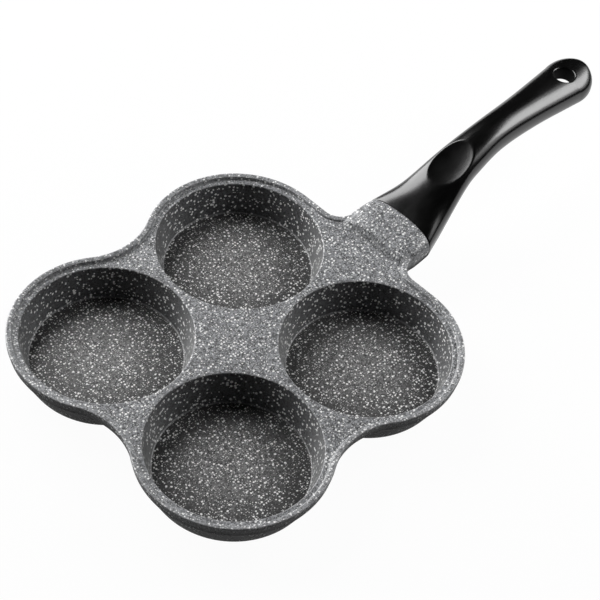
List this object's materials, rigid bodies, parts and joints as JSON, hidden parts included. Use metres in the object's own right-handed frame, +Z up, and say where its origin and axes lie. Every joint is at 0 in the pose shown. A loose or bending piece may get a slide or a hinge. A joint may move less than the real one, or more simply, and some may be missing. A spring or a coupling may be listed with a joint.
{
  "type": "four-cup egg pan",
  "caption": "Shallow cast frying pan with round egg cups in a lobed deck, a low lip, a stone-speckle coat and a bent black handle with a thumb rest and a hanging hole.",
  "frame": {"origin": "on the table, below the middle of the whole pan's length and width", "axes": "+X along the handle towards its tip, +Z up, +Y to the left when looking along +X"},
  "size_m": [0.4111, 0.2184, 0.0623],
  "materials": {
    "coated_aluminium": "satin grey non-stick coat with dense pale specks",
    "phenolic": "satin black phenolic resin",
    "steel": "plain zinc-plated steel"
  },
  "bodies": {
    "root": {"pan_body": "coated_aluminium", "handle": "phenolic", "handle_screw": "steel", "spring_washer": "steel", "flat_washer": "steel"}
  },
  "joints": []
}
